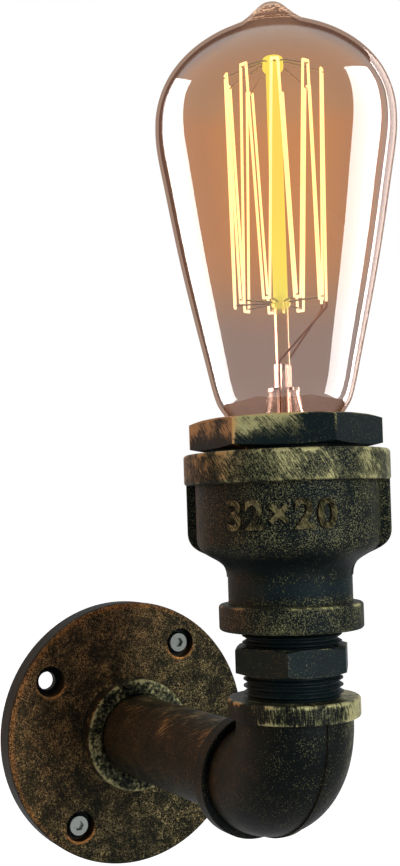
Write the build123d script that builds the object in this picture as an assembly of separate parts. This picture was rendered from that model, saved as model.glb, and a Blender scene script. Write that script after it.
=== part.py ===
from build123d import *
import os
from math import cos, radians, sin, sqrt

# Industrial pipe wall light, in millimetres.
# The wall is the plane y = 0, the arm points along -Y and +Z is up.
# The origin is the centre of the flange's back.

# ---------------------------------------------------------------- wall plate
FLANGE_R = 44.45
FLANGE_T = 8.0
FLANGE_EDGE = 1.2
HUB_R = 18.8
HUB_FACE = 14.3  # hub face, measured from the wall
HUB_EDGE = 0.8
HUB_ROOT = 1.5
RECESS_R = 40.0
RECESS_DEPTH = 5.2
BOSS_R = 7.0
HOLE_CIRCLE_R = 35.35
HOLE_ANGLE = 55.5  # from +X towards +Z, to the upper fixing screw
COUNTERBORE_R = 5.1
COUNTERBORE_DEPTH = 3.4
WALL_HOLE_R = 3.0
SCREW_HOLE_R = 2.5
BAR_T = 2.0
BAR_GAP = 0.2  # between the bar and the bosses
BAR_HALF_WIDTH = 7.0
BAR_END_GAP = 0.6
BAR_EYE_R = 20.0
BAR_EYE_HOLE_R = 12.0
BAR_SLOT_AT = 26.5
BAR_SLOT_R = 2.25
BAR_SLOT_RUN = 5.0

# ---------------------------------------------------------- modelling values
OVERRUN = 1.0  # how far a cutter runs past the face that it opens
MERGE = 0.5  # how far one shape reaches into the next that it is fused to
HAIR = 0.01  # keeps two faces from coinciding
CREST_LAND = 0.05  # half the flat on a thread's crest, as a share of its pitch
ROOT_LAND = 0.08  # the same at its root

# ------------------------------------------------------------- small screws
PLATE_SCREW_R = 1.95
PLATE_HEAD_R = 3.6
PLATE_HEAD_H = 2.2
PLATE_HEAD_EDGE = 0.4
SCREW_BACK = 0.2  # screw end, measured from the wall
SOCKET_R = 1.7
SOCKET_DEPTH = 1.2
EARTH_AT = 16.0
EARTH_SCREW_R = 1.45
EARTH_HEAD_R = 3.0
EARTH_HEAD_H = 1.8
EARTH_WASHER_T = 0.6
EARTH_WASHER_R = 3.4
TAPPED_GAP = 0.05
SLOT_HALF_W = 0.4
SLOT_DEPTH = 0.8

# -------------------------------------------------------- 3/4 inch pipe work
REACH = 107.5  # wall to bulb axis
PIPE_R = 13.35
PIPE_BORE_R = 10.45
PIPE_EDGE = 0.3
PIPE_SEAT = 0.5  # the pipe's full width starts this far inside the hub
THREAD_CREST_R = 13.22
THREAD_ROOT_R = 12.06
THREAD_PITCH = 1.814
THREAD_GAP = 0.06
THREAD_RELIEF = 0.08  # a socket's plain ends are this much wider than its thread
COUNTERSINK_R = 14.3
PIPE_BACK = 6.0  # pipe end, measured from the wall
PIPE_ENTRY = 11.0  # how far the pipe runs into the elbow
ELBOW_FACE = 25.0  # elbow centre to either face
ELBOW_BODY_R = 15.6
ELBOW_BORE_R = 10.4
ELBOW_BEND_R = 18.0
COLLAR_R = 17.6
COLLAR_H = 5.2
COLLAR_EDGE = 0.7
SEAM_HALF_W = 0.7
SEAM_H = 0.45
SOCKET_END_GAP = 0.4  # beyond the end of a thread inside its socket
NIPPLE_BORE_R = 9.8
NIPPLE_HEX_AF = 28.6
NIPPLE_HEX_ANGLE = 51.8
NIPPLE_HEX_Z = 31.6
NIPPLE_HEX_H = 7.1
NIPPLE_ENTRY = 10.5  # into the elbow
NIPPLE_TOP_ENTRY = 11.5  # into the reducer
HEX_CHAMFER_RISE = 0.6
PIPE_FRONT = REACH - ELBOW_FACE + PIPE_ENTRY
PIPE_FULL_WIDTH = HUB_FACE - PIPE_SEAT
ELBOW_WALL_FACE = REACH - ELBOW_FACE

# ------------------------------------------------- reducer and hex bushing
REDUCER_Z = 42.9
NIPPLE_LOW_RUN = NIPPLE_HEX_Z - ELBOW_FACE + NIPPLE_ENTRY
NIPPLE_HEX_TOP = NIPPLE_HEX_Z + NIPPLE_HEX_H
NIPPLE_TOP = REDUCER_Z + NIPPLE_TOP_ENTRY
LOW_BAND_R = 19.15
LOW_BAND_H = 7.0
NECK_R = 16.5
NECK_TOP_Z = 57.0
REDUCER_BODY_R = 24.4
SHOULDER_Z = 67.5
REDUCER_TOP_Z = 89.7
TOP_BAND_R = 27.3
TOP_BAND_H = 8.1
BAND_EDGE = 0.9
RIB_R = 27.0
RIB_HALF_W = 2.0
RIB_ROOT = 2.0  # how deep the rib's web starts inside the neck
RIB_PROUD = 0.2  # where the rib runs out on the neck
RIB_EDGE = 0.5
RIB_ANGLE = -40.0
RIB_SHOULDER_Z = 69.0
BUSH_CREST_R = 20.95
BUSH_ROOT_R = 19.47
BUSH_PITCH = 2.309
BUSH_BORE_R = 18.0
BUSH_HEX_Z = 90.8
BUSH_HEX_H = 7.8
BUSH_HEX_AF = 44.4
BUSH_HEX_ANGLE = 25.6
BUSH_CHAMFER = 0.8
BUSH_MOUTH = 0.5  # how far the reducer's mouth opens past the thread's crest
HOLDER_GAP = 0.25  # round the lampholder, inside the reducer and the bushing
LEDGE_Z = 66.5
UNDER_LEDGE_R = 16.5
FUNNEL_TOP_Z = 62.0
FUNNEL_END_Z = 57.5
FUNNEL_END_R = 11.5

# ---------------------------------------------------------------- lampholder
HOLDER_FLANGE_R = 19.1
HOLDER_FLANGE_TOP = 77.6
HOLDER_TOP = 91.5
HOLDER_EDGE = 0.8
BUSH_LOW = HOLDER_FLANGE_TOP
BUSH_TOP = BUSH_HEX_Z + BUSH_HEX_H
TOP_BAND_Z = REDUCER_TOP_Z - TOP_BAND_H
HOLDER_CAVITY_R = 14.1
HOLDER_FLOOR = 67.0
HOLDER_BOSS_R = 14.2
HOLDER_BOSS_Z = 60.5
WELL_R = 4.4
WELL_Z = 63.4
GUIDE_R = 1.35
TERMINAL_AT = 9.6
BLOCK_X = 5.2
BLOCK_Y = 5.6
BLOCK_TOP = 65.4
BLOCK_GAP = 0.1
POCKET_OUT = 16.0
STRIP_T = 0.5
STRIP_HALF_W = 2.5
STRIP_END = 2.6
WIRE_HOLE_R = 0.7
WIRE_HOLE_TOP = 62.9
SHELL_WALL = 0.4
SHELL_GAP = 0.2  # between the lamp cap's thread and the shell's
SHELL_TOP = 88.4
SHELL_FLOOR_T = 0.6
SHELL_HOLE_R = 5.5
SHELL_SCREW_R = 1.25
SHELL_SCREW_PLAY = 0.15
SHELL_SCREW_END = 63.4
SHELL_HEAD_R = 2.2
SHELL_HEAD_H = 1.3
CLAMP_SCREW_R = 1.0
CLAMP_HEAD_R = 1.6
CLAMP_HEAD_H = 1.2
CLAMP_SCREW_Z = 62.0
CLAMP_HEAD_GAP = 0.1
CONTACT_HEAD_R = 4.0
CONTACT_HEAD_H = 1.5
CONTACT_STEM_R = 1.25
CONTACT_STEM_END = 59.6
CONTACT_EDGE = 0.4
CONTACT_PLAY = 0.1
SPRING_R = 2.6
SPRING_WIRE_R = 0.25
SPRING_TURNS = 3
SPRING_END_GAP = 0.03

# --------------------------------------------------------------------- wires
WIRE_R = 1.1
CORE_R = 0.6
STRIP_BACK_Y = 9.0  # insulation ends this far from the wall
CORE_BACK_Y = 1.5
FERRULE_WALL = 0.3
FERRULE_GAP = 0.03
WIRE_END_GAP = 0.1
WIRE_SPREAD = 2.6
# Both wires run alike: (from the arm's plane, from the lamp's axis to the wall, above the arm's axis).
WIRE_ROUTE = [
    (6.6, 0, 49.0),
    (WIRE_SPREAD, 0, 26.0),
    (WIRE_SPREAD, 7.0, 5.5),
    (WIRE_SPREAD, 27.0, 0),
    (WIRE_SPREAD, 57.5, 0),
]

# ------------------------------------------------------------ lamp, E27 cap
TIP_Z = 68.4  # underside of the lamp's contact
CAP_CREST_R = 13.1
CAP_ROOT_R = 12.05
CAP_PITCH = 3.629
CAP_WALL = 0.35
CAP_SKIRT_R = 13.25
CAP_THREAD_Z = 72.6
CAP_SKIRT_Z = 89.0
CAP_TOP_Z = 95.4
CAP_LAP = 0.3  # the thread's inside runs this far into the skirt
TIP_R = 4.6
TIP_DOME = 0.9
TIP_CROWN_R = 2.76
TIP_CROWN = 0.3
TIP_TOP = 69.9
TIP_PIN_R = 0.9
TIP_PIN_TOP = 76.0
INSULATOR_NOSE_R = 5.2
INSULATOR_T = 2.1
INSULATOR_GAP = 0.05
INSULATOR_LIFT = 0.2  # above the cap's lower edge
GLASS_WALL = 0.9
NECK_GLASS_R = 12.3
NECK_GLASS_Z = 89.5
CEMENT_GAP = 0.05
CEMENT_INSET = 0.4
GLASS_CURVE_Z = 95.1  # the neck is straight up to here
LAMP_R = 32.0
LAMP_TOP = 210.2
LAMP_WIDEST_Z = 177.5
# (radius, height) of the glass between its neck and its widest circle
GLASS_FLANK = [
    (13.2, 96.6),
    (15.6, 99.6),
    (18.0, 103.7),
    (20.6, 114.4),
    (26.2, 140.0),
    (30.4, 163.5),
    (31.7, 171.5),
]
# (radius, height) of the glass between its widest circle and its tip
GLASS_DOME = [
    (31.5, 182.0),
    (29.9, 186.8),
    (27.5, 190.8),
    (24.2, 194.4),
    (20.0, 197.6),
    (15.2, 200.3),
    (11.0, 202.6),
    (7.6, 205.1),
    (4.9, 207.6),
]

# ------------------------------------------------------- inside of the lamp
STEM_FLARE_R = 11.2
STEM_FLARE_Z = 90.2
STEM_WAIST_R = 4.6
STEM_WAIST_Z = 103.5
STEM_WALL = 0.8
PRESS_Z = 106.0
PRESS_TOP = 113.0
PRESS_HALF_L = 3.9
PRESS_HALF_W = 1.7
PRESS_ANGLE = 40.0
PRESS_CORNER = 0.1  # what is left of the flat side's straight run at each end
STEM_TAPER = 0.3
ROD_R = 1.95
ROD_TOP = 195.6
UPPER_BUTTON_Z = 191.8
UPPER_BUTTON_R = 2.8
LOWER_BUTTON_Z = 128.4
LOWER_BUTTON_TOP = 131.2
LOWER_BUTTON_R = 2.6
BUTTON_EDGE = 0.9
EXHAUST_R = 1.9
EXHAUST_BORE_R = 1.2
EXHAUST_END = 85.0
CAGE_TOP_R = 13.0
CAGE_LOW_R = 12.2
CAGE_HUB_Z = 193.8  # where the upper hooks leave their button
CAGE_TOP_Z = 189.8
CAGE_LOW_Z = 129.8
CAGE_LOOPS = 9
CAGE_START = -8.0  # angle of one end of the filament, and half a step short of a full turn the other
CAGE_STEP = 360 / (CAGE_LOOPS + 0.5)
LOOP_HALF_W = 0.85
HOOK_R = 0.25
HOOK_PAST = 0.7
HOOK_LEVEL = 0.8  # level run of an upper hook before it droops
FILAMENT_R = 0.35
LEAD_R = 0.3
LEAD_AT = 3.2
LEAD_GAP = 0.02
SIDE_LEAD_R = 11.4
SIDE_LEAD_Z = 88.7
SIDE_LEAD_BEND_Z = 92.0
TIP_LEAD_RISE = 1.5
TIP_LEAD_BEND_Z = 84.0
LEAD_FREE = 0.8  # straight run above the press
LEAD_HOOK = 1.5  # straight run under the filament's end
TOUCH_GAP = 0.02


# ----------------------------------------------------------------- helpers
def disc(radius, low, high):
    """A cylinder about Z between two heights."""
    return Pos(0, 0, low) * Cylinder(radius, high - low, align=(Align.CENTER, Align.CENTER, Align.MIN))


def tube(outer, inner, low, high):
    """A hollow cylinder about Z."""
    return disc(outer, low, high) - disc(inner, low - OVERRUN, high + OVERRUN)


def cone(low_r, high_r, low, high):
    """A cone frustum about Z."""
    return Pos(0, 0, low) * Cone(low_r, high_r, high - low, align=(Align.CENTER, Align.CENTER, Align.MIN))


def turned(edges):
    """A solid turned about Z from a closed line of edges in the XZ plane."""
    return revolve(make_face(Wire(edges)), Axis.Z)


def outline(points):
    """Straight edges through (radius, height) points, not closed."""
    return Polyline(*[(r, 0, z) for r, z in points]).edges()


def turned_points(points):
    """A solid turned about Z from a closed polygon of (radius, height) points."""
    return turned(outline(points + points[:1]))


def s_curve(start, end):
    """A curve between two (radius, height) points that leaves and arrives along Z."""
    down = (0, 0, -1)
    return Spline((start[0], 0, start[1]), (end[0], 0, end[1]), tangents=[down, down])


def knuckle(crest, root, pitch, low, high):
    """A round-crested helical thread: a circle carried along a thin helix, square to Z."""
    helix_r = (crest - root) / 2
    helix = Pos(0, 0, low) * Helix(pitch, high - low, helix_r)
    circle = Pos(helix_r, 0, low) * Circle((crest + root) / 2)
    return Solid.sweep(circle.face(), helix.edge(), mode=Vector(0, 0, 1))


def grooved(crest, root, pitch, low, high):
    """A pipe thread drawn as rings, so that one screwed in it can turn without climbing."""
    points = [(0, low), (root, low)]
    for turn in range(int((high - low) / pitch)):
        z = low + turn * pitch
        points += [(root, z + ROOT_LAND * pitch), (crest, z + (0.5 - CREST_LAND) * pitch)]
        points += [(crest, z + (0.5 + CREST_LAND) * pitch), (root, z + (1 - ROOT_LAND) * pitch)]
    points += [(root, high), (0, high)]
    return turned_points(points)


def hexagon(across_flats, angle, low, high):
    """A hexagonal prism about Z with a corner at the given angle and turned corners."""
    corner_r = across_flats / sqrt(3)
    flat = Pos(0, 0, low) * RegularPolygon(corner_r, 6, rotation=angle)
    prism = extrude(flat, high - low)
    rise = HEX_CHAMFER_RISE
    flat_r = across_flats / 2 + rise / 2
    middle = disc(corner_r + OVERRUN, low + rise, high - rise)
    lower = cone(flat_r, corner_r, low, low + rise)
    upper = cone(corner_r, flat_r, high - rise, high)
    return prism & (middle + lower + upper)


def along_arm(shape):
    """Lays a shape built about +Z along the arm, from the wall outwards."""
    return Rot(90, 0, 0) * shape


def on_lamp_axis(shape):
    """Moves a shape built about Z to the lamp's axis."""
    return Pos(0, -REACH, 0) * shape


def polar(radius, angle, z):
    """A point round the Z axis."""
    return (radius * cos(radians(angle)), radius * sin(radians(angle)), z)


def wire_through(points, radius):
    """A round wire along straight runs, with a ball at every corner."""
    shape = None
    for start, end in zip(points, points[1:]):
        a, b = Vector(*start), Vector(*end)
        run = Plane(origin=a, z_dir=b - a) * Cylinder(
            radius, (b - a).length, align=(Align.CENTER, Align.CENTER, Align.MIN)
        )
        shape = run if shape is None else shape + run
    for corner in points[1:-1]:
        shape = shape + Pos(*corner) * Sphere(radius)
    return shape


def slotted(low_r, head_r, low, head_z, high):
    """A slot-headed screw about Z, head at the top."""
    screw = disc(low_r, low, head_z) + disc(head_r, head_z, high)
    slot = Pos(0, 0, high - SLOT_DEPTH / 2) * Box(2 * head_r + OVERRUN, 2 * SLOT_HALF_W, SLOT_DEPTH)
    return screw - slot


# -------------------------------------------------------------- wall plate
def fixing_places(radius, angles):
    return [Pos(*polar(radius, HOLE_ANGLE + a, 0)) for a in angles]


def wall_flange():
    rim = disc(FLANGE_R, 0, FLANGE_T)
    rim = fillet(rim.edges().group_by(Axis.Z)[-1], FLANGE_EDGE)
    hub = disc(HUB_R, FLANGE_T - MERGE, HUB_FACE)
    hub = fillet(hub.edges().group_by(Axis.Z)[-1], HUB_EDGE)
    body = rim + hub + cone(HUB_R + HUB_ROOT, HUB_R - HAIR, FLANGE_T - HAIR, FLANGE_T + HUB_ROOT)
    body -= disc(RECESS_R, -OVERRUN, RECESS_DEPTH)
    boss_end = BAR_T + BAR_GAP
    for place in fixing_places(HOLE_CIRCLE_R, (0, 90, 180, 270)):
        boss = place * disc(BOSS_R, boss_end, RECESS_DEPTH + MERGE)
        body += boss & disc(RECESS_R + MERGE, 0, FLANGE_T)
    for place in fixing_places(HOLE_CIRCLE_R, (0, 180)):
        body -= place * disc(SCREW_HOLE_R, 0, FLANGE_T + OVERRUN)
    for place in fixing_places(HOLE_CIRCLE_R, (90, 270)):
        body -= place * disc(WALL_HOLE_R, 0, FLANGE_T + OVERRUN)
    for place in fixing_places(HOLE_CIRCLE_R, (0, 90, 180, 270)):
        body -= place * disc(COUNTERBORE_R, FLANGE_T - COUNTERBORE_DEPTH, FLANGE_T + OVERRUN)
    crest, root = THREAD_CREST_R + THREAD_GAP, THREAD_ROOT_R + THREAD_GAP
    body -= grooved(crest, root, THREAD_PITCH, PIPE_BACK - THREAD_PITCH, HUB_FACE + MERGE)
    body -= disc(crest + THREAD_RELIEF, RECESS_DEPTH - OVERRUN, PIPE_BACK)
    start_r = root - OVERRUN
    body -= cone(start_r, COUNTERSINK_R, HUB_FACE - (COUNTERSINK_R - start_r), HUB_FACE + HAIR)
    return along_arm(body)


def mounting_bar():
    half = RECESS_R - BAR_END_GAP
    arm = Box(2 * half, 2 * BAR_HALF_WIDTH, BAR_T, align=(Align.CENTER, Align.CENTER, Align.MIN))
    bar = (arm + disc(BAR_EYE_R, 0, BAR_T)) & disc(half, 0, BAR_T)
    bar -= disc(BAR_EYE_HOLE_R, -OVERRUN, BAR_T + OVERRUN)
    for side in (-1, 1):
        bar -= Pos(side * HOLE_CIRCLE_R, 0, 0) * disc(PLATE_SCREW_R + TAPPED_GAP, -OVERRUN, BAR_T + OVERRUN)
        slot = Pos(side * BAR_SLOT_AT, 0, 0) * SlotCenterToCenter(BAR_SLOT_RUN, 2 * BAR_SLOT_R)
        bar -= extrude(slot, BAR_T + OVERRUN)
    bar -= Pos(0, EARTH_AT, 0) * disc(EARTH_SCREW_R + TAPPED_GAP, -OVERRUN, BAR_T + OVERRUN)
    return along_arm(Rot(0, 0, HOLE_ANGLE) * bar)


def plate_screws():
    seat = FLANGE_T - COUNTERBORE_DEPTH
    screw = disc(PLATE_SCREW_R, SCREW_BACK, seat) + disc(PLATE_HEAD_R, seat, seat + PLATE_HEAD_H)
    screw = chamfer(screw.edges().group_by(Axis.Z)[-1], PLATE_HEAD_EDGE)
    socket = Pos(0, 0, seat + PLATE_HEAD_H - SOCKET_DEPTH) * RegularPolygon(SOCKET_R, 6)
    screw -= extrude(socket, SOCKET_DEPTH + OVERRUN)
    places = fixing_places(HOLE_CIRCLE_R, (0, 180))
    return along_arm(Compound([place * screw for place in places]))


def earth_place(shape):
    return along_arm(Rot(0, 0, HOLE_ANGLE) * Pos(0, EARTH_AT, 0) * shape)


def earth_washer():
    bore_r = EARTH_SCREW_R + TAPPED_GAP
    return earth_place(tube(EARTH_WASHER_R, bore_r, BAR_T, BAR_T + EARTH_WASHER_T))


def earth_screw():
    head = BAR_T + EARTH_WASHER_T
    return earth_place(slotted(EARTH_SCREW_R, EARTH_HEAD_R, SCREW_BACK, head, head + EARTH_HEAD_H))


# ---------------------------------------------------------------- pipe work
def arm_pipe():
    body = disc(PIPE_R, PIPE_FULL_WIDTH, ELBOW_WALL_FACE - SOCKET_END_GAP)
    body = chamfer(body.edges(), PIPE_EDGE)
    body += grooved(THREAD_CREST_R, THREAD_ROOT_R, THREAD_PITCH, PIPE_BACK, PIPE_FULL_WIDTH + MERGE)
    body += grooved(THREAD_CREST_R, THREAD_ROOT_R, THREAD_PITCH, ELBOW_WALL_FACE - OVERRUN, PIPE_FRONT)
    body -= disc(PIPE_BORE_R, 0, PIPE_FRONT + OVERRUN)
    return along_arm(body)


def elbow_path(end):
    """Centre line of the elbow: in along the arm, round the bend and up the lamp's axis."""
    start = Line((0, -REACH + end, 0), (0, -REACH + ELBOW_BEND_R, 0))
    half_way = ELBOW_BEND_R * (1 - cos(radians(45)))
    middle = (0, -REACH + half_way, half_way)
    bend = ThreePointArc((0, -REACH + ELBOW_BEND_R, 0), middle, (0, -REACH, ELBOW_BEND_R))
    finish = Line((0, -REACH, ELBOW_BEND_R), (0, -REACH, end))
    return Wire([start.edge(), bend.edge(), finish.edge()])


def elbow_sweep(radius, end=ELBOW_FACE):
    section = Plane(origin=(0, -REACH + end, 0), z_dir=(0, -1, 0)) * Circle(radius)
    return sweep(section, path=elbow_path(end))


def collar():
    band = disc(COLLAR_R, ELBOW_FACE - COLLAR_H, ELBOW_FACE)
    return fillet(band.edges(), COLLAR_EDGE)


def to_wall_side(shape):
    """Turns a shape on the lamp's axis, about the elbow's centre, on to the arm's axis."""
    return Pos(0, -REACH, 0) * Rot(-90, 0, 0) * shape


def elbow():
    body = elbow_sweep(ELBOW_BODY_R)
    seam = elbow_sweep(ELBOW_BODY_R + SEAM_H)
    body += seam & Pos(0, -REACH, 0) * Box(2 * SEAM_HALF_W, 4 * ELBOW_FACE, 4 * ELBOW_FACE)
    body += on_lamp_axis(collar()) + to_wall_side(collar())
    body -= elbow_sweep(ELBOW_BORE_R)
    crest, root = THREAD_CREST_R + THREAD_GAP, THREAD_ROOT_R + THREAD_GAP
    relief = crest + THREAD_RELIEF
    low = NIPPLE_HEX_Z - NIPPLE_LOW_RUN
    body -= on_lamp_axis(disc(relief, low - SOCKET_END_GAP, low + SOCKET_END_GAP))
    body -= on_lamp_axis(nipple_threads(THREAD_GAP)[0])
    body -= along_arm(grooved(crest, root, THREAD_PITCH, ELBOW_WALL_FACE - OVERRUN, PIPE_FRONT))
    body -= along_arm(disc(relief, PIPE_FRONT - MERGE, PIPE_FRONT + SOCKET_END_GAP))
    body -= along_arm(disc(relief, ELBOW_WALL_FACE - OVERRUN, ELBOW_WALL_FACE + PIPE_EDGE))
    return body


def nipple_threads(gap=0.0):
    """The nipple's two threads about Z, or with a gap the room that their sockets leave them."""
    crest, root = THREAD_CREST_R + gap, THREAD_ROOT_R + gap
    lower = grooved(crest, root, THREAD_PITCH, NIPPLE_HEX_Z - NIPPLE_LOW_RUN, NIPPLE_HEX_Z)
    return lower, grooved(crest, root, THREAD_PITCH, NIPPLE_HEX_TOP, NIPPLE_TOP)


def hex_nipple():
    lower, upper = nipple_threads()
    body = lower + hexagon(NIPPLE_HEX_AF, NIPPLE_HEX_ANGLE, NIPPLE_HEX_Z, NIPPLE_HEX_TOP) + upper
    body -= disc(NIPPLE_BORE_R, 0, NIPPLE_TOP + OVERRUN)
    return on_lamp_axis(body)


# ------------------------------------------------- reducer and hex bushing
def rib(angle):
    inner = NECK_R - RIB_ROOT
    foot = NECK_R + RIB_PROUD
    top = TOP_BAND_Z + MERGE
    edges = outline([(foot, NECK_TOP_Z), (inner, NECK_TOP_Z), (inner, top)])
    edges += outline([(inner, top), (RIB_R, top), (RIB_R, RIB_SHOULDER_Z)])
    edges.append(s_curve((RIB_R, RIB_SHOULDER_Z), (foot, NECK_TOP_Z)).edge())
    web = extrude(make_face(Wire(edges)), RIB_HALF_W, both=True)
    web = fillet(web.edges().filter_by(lambda e: e.center().X > NECK_R + RIB_ROOT), RIB_EDGE)
    return Rot(0, 0, angle) * web


def reducer():
    neck_low = REDUCER_Z + LOW_BAND_H - MERGE
    edges = outline([(0, SHOULDER_Z), (REDUCER_BODY_R, SHOULDER_Z)])
    edges.append(s_curve((REDUCER_BODY_R, SHOULDER_Z), (NECK_R, NECK_TOP_Z)).edge())
    edges += outline([(NECK_R, NECK_TOP_Z), (NECK_R, neck_low), (0, neck_low), (0, SHOULDER_Z)])
    body = turned(edges)
    body += disc(REDUCER_BODY_R, SHOULDER_Z, TOP_BAND_Z + MERGE)
    low_band = disc(LOW_BAND_R, REDUCER_Z, REDUCER_Z + LOW_BAND_H)
    top_band = disc(TOP_BAND_R, TOP_BAND_Z, REDUCER_TOP_Z)
    body += fillet(low_band.edges(), BAND_EDGE) + fillet(top_band.edges(), BAND_EDGE)
    body += rib(RIB_ANGLE) + rib(RIB_ANGLE + 180)
    crest, root = BUSH_CREST_R + THREAD_GAP, BUSH_ROOT_R + THREAD_GAP
    body -= grooved(crest, root, BUSH_PITCH, BUSH_LOW, REDUCER_TOP_Z + MERGE)
    start_r, mouth_r = root - OVERRUN, crest + BUSH_MOUTH
    body -= cone(start_r, mouth_r, REDUCER_TOP_Z - (mouth_r - start_r), REDUCER_TOP_Z + HAIR)
    body -= disc(HOLDER_FLANGE_R + HOLDER_GAP, LEDGE_Z, BUSH_LOW + HAIR)
    body -= disc(UNDER_LEDGE_R, FUNNEL_TOP_Z, LEDGE_Z)
    body -= cone(FUNNEL_END_R, UNDER_LEDGE_R, FUNNEL_END_Z, FUNNEL_TOP_Z)
    body -= disc(FUNNEL_END_R, NIPPLE_TOP, FUNNEL_END_Z)
    body -= nipple_threads(THREAD_GAP)[1]
    relief = THREAD_CREST_R + THREAD_GAP + THREAD_RELIEF
    body -= disc(relief, NIPPLE_TOP - MERGE, NIPPLE_TOP + SOCKET_END_GAP)
    return on_lamp_axis(body)


def hex_bushing():
    body = grooved(BUSH_CREST_R, BUSH_ROOT_R, BUSH_PITCH, BUSH_LOW, BUSH_HEX_Z)
    body += hexagon(BUSH_HEX_AF, BUSH_HEX_ANGLE, BUSH_HEX_Z, BUSH_TOP)
    body -= disc(BUSH_BORE_R, BUSH_LOW - OVERRUN, BUSH_TOP + OVERRUN)
    body -= cone(BUSH_BORE_R, BUSH_BORE_R + BUSH_CHAMFER, BUSH_TOP - BUSH_CHAMFER, BUSH_TOP + HAIR)
    return on_lamp_axis(body)


# ---------------------------------------------------------------- lampholder
def holder_body():
    barrel_r = BUSH_BORE_R - HOLDER_GAP
    body = disc(HOLDER_BOSS_R, HOLDER_BOSS_Z, LEDGE_Z)
    body += disc(HOLDER_FLANGE_R, LEDGE_Z, HOLDER_FLANGE_TOP)
    barrel = disc(barrel_r, HOLDER_FLANGE_TOP - MERGE, HOLDER_TOP)
    body += fillet(barrel.edges().group_by(Axis.Z)[-1], HOLDER_EDGE)
    body -= disc(HOLDER_CAVITY_R, HOLDER_FLOOR, HOLDER_TOP + OVERRUN)
    body -= disc(WELL_R, WELL_Z, HOLDER_FLOOR + OVERRUN)
    body -= disc(GUIDE_R, HOLDER_BOSS_Z - OVERRUN, WELL_Z + OVERRUN)
    pocket_in = TERMINAL_AT - BLOCK_X / 2 - BLOCK_GAP
    pocket_h = BLOCK_TOP + BLOCK_GAP - HOLDER_BOSS_Z + OVERRUN
    pocket = Box(
        POCKET_OUT - pocket_in,
        BLOCK_Y + 2 * BLOCK_GAP,
        pocket_h,
        align=(Align.MIN, Align.CENTER, Align.MIN),
    )
    for angle in (0, 180):
        body -= Rot(0, 0, angle) * Pos(pocket_in, 0, HOLDER_BOSS_Z - OVERRUN) * pocket
    screw_way = disc(SHELL_SCREW_R + SHELL_SCREW_PLAY, BLOCK_TOP - OVERRUN, HOLDER_FLOOR + OVERRUN)
    body -= Pos(TERMINAL_AT, 0, 0) * screw_way
    return on_lamp_axis(body)


def screw_shell():
    inner_crest = CAP_CREST_R + SHELL_GAP
    inner_root = CAP_ROOT_R + SHELL_GAP
    phase = CAP_THREAD_Z - 2 * CAP_PITCH  # keeps the shell's helix in step with the cap's
    end = SHELL_TOP + CAP_PITCH
    outer = knuckle(inner_crest + SHELL_WALL, inner_root + SHELL_WALL, CAP_PITCH, phase, end)
    inner = knuckle(inner_crest, inner_root, CAP_PITCH, phase, end)
    floor_top = HOLDER_FLOOR + SHELL_FLOOR_T
    body = outer & disc(HOLDER_CAVITY_R, HOLDER_FLOOR, SHELL_TOP)
    body -= inner & disc(HOLDER_CAVITY_R, floor_top, SHELL_TOP + OVERRUN)
    body -= disc(SHELL_HOLE_R, HOLDER_FLOOR - OVERRUN, floor_top + OVERRUN)
    screw_hole = disc(SHELL_SCREW_R + SHELL_SCREW_PLAY, HOLDER_FLOOR - OVERRUN, floor_top + OVERRUN)
    body -= Pos(TERMINAL_AT, 0, 0) * screw_hole
    return on_lamp_axis(body)


def shell_screw():
    head = HOLDER_FLOOR + SHELL_FLOOR_T
    screw = slotted(SHELL_SCREW_R, SHELL_HEAD_R, SHELL_SCREW_END, head, head + SHELL_HEAD_H)
    return on_lamp_axis(Pos(TERMINAL_AT, 0, 0) * screw)


def terminal_block(low):
    """A brass block on +X, with a hole for the wire below and one for its clamp screw outside."""
    block = Pos(TERMINAL_AT, 0, low) * Box(
        BLOCK_X, BLOCK_Y, BLOCK_TOP - low, align=(Align.CENTER, Align.CENTER, Align.MIN)
    )
    block -= Pos(TERMINAL_AT, 0, 0) * disc(WIRE_HOLE_R, low - OVERRUN, WIRE_HOLE_TOP)
    clamp_hole = Rot(0, 90, 0) * disc(CLAMP_SCREW_R + TAPPED_GAP, TERMINAL_AT, TERMINAL_AT + BLOCK_X)
    return block - Pos(0, 0, CLAMP_SCREW_Z) * clamp_hole


def neutral_terminal():
    block = terminal_block(HOLDER_BOSS_Z + BLOCK_GAP)
    tapped = disc(SHELL_SCREW_R + TAPPED_GAP, SHELL_SCREW_END - BLOCK_GAP, BLOCK_TOP + OVERRUN)
    block -= Pos(TERMINAL_AT, 0, 0) * tapped
    return on_lamp_axis(block)


def live_terminal():
    low = HOLDER_BOSS_Z - STRIP_T
    strip_out = TERMINAL_AT + BLOCK_X / 2
    strip = Pos(-STRIP_END, 0, low) * Box(
        STRIP_END + strip_out, 2 * STRIP_HALF_W, STRIP_T, align=(Align.MIN, Align.CENTER, Align.MIN)
    )
    body = terminal_block(HOLDER_BOSS_Z) + strip
    body -= disc(CONTACT_STEM_R + CONTACT_PLAY, low - OVERRUN, low + OVERRUN)
    body -= Pos(TERMINAL_AT, 0, 0) * disc(WIRE_HOLE_R, low - OVERRUN, low + OVERRUN)
    return on_lamp_axis(Rot(0, 0, 180) * body)


def terminal_screws():
    tip = TERMINAL_AT + CORE_R
    head = TERMINAL_AT + BLOCK_X / 2 + CLAMP_HEAD_GAP
    screw = slotted(CLAMP_SCREW_R, CLAMP_HEAD_R, tip, head, head + CLAMP_HEAD_H)
    screw = Pos(0, 0, CLAMP_SCREW_Z) * Rot(0, 90, 0) * screw
    return on_lamp_axis(Compound([Rot(0, 0, angle) * screw for angle in (0, 180)]))


def centre_contact():
    head_low = TIP_Z - CONTACT_HEAD_H
    body = disc(CONTACT_STEM_R, CONTACT_STEM_END, head_low + MERGE)
    head = disc(CONTACT_HEAD_R, head_low, TIP_Z - TOUCH_GAP)
    return on_lamp_axis(body + fillet(head.edges().group_by(Axis.Z)[-1], CONTACT_EDGE))


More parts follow.
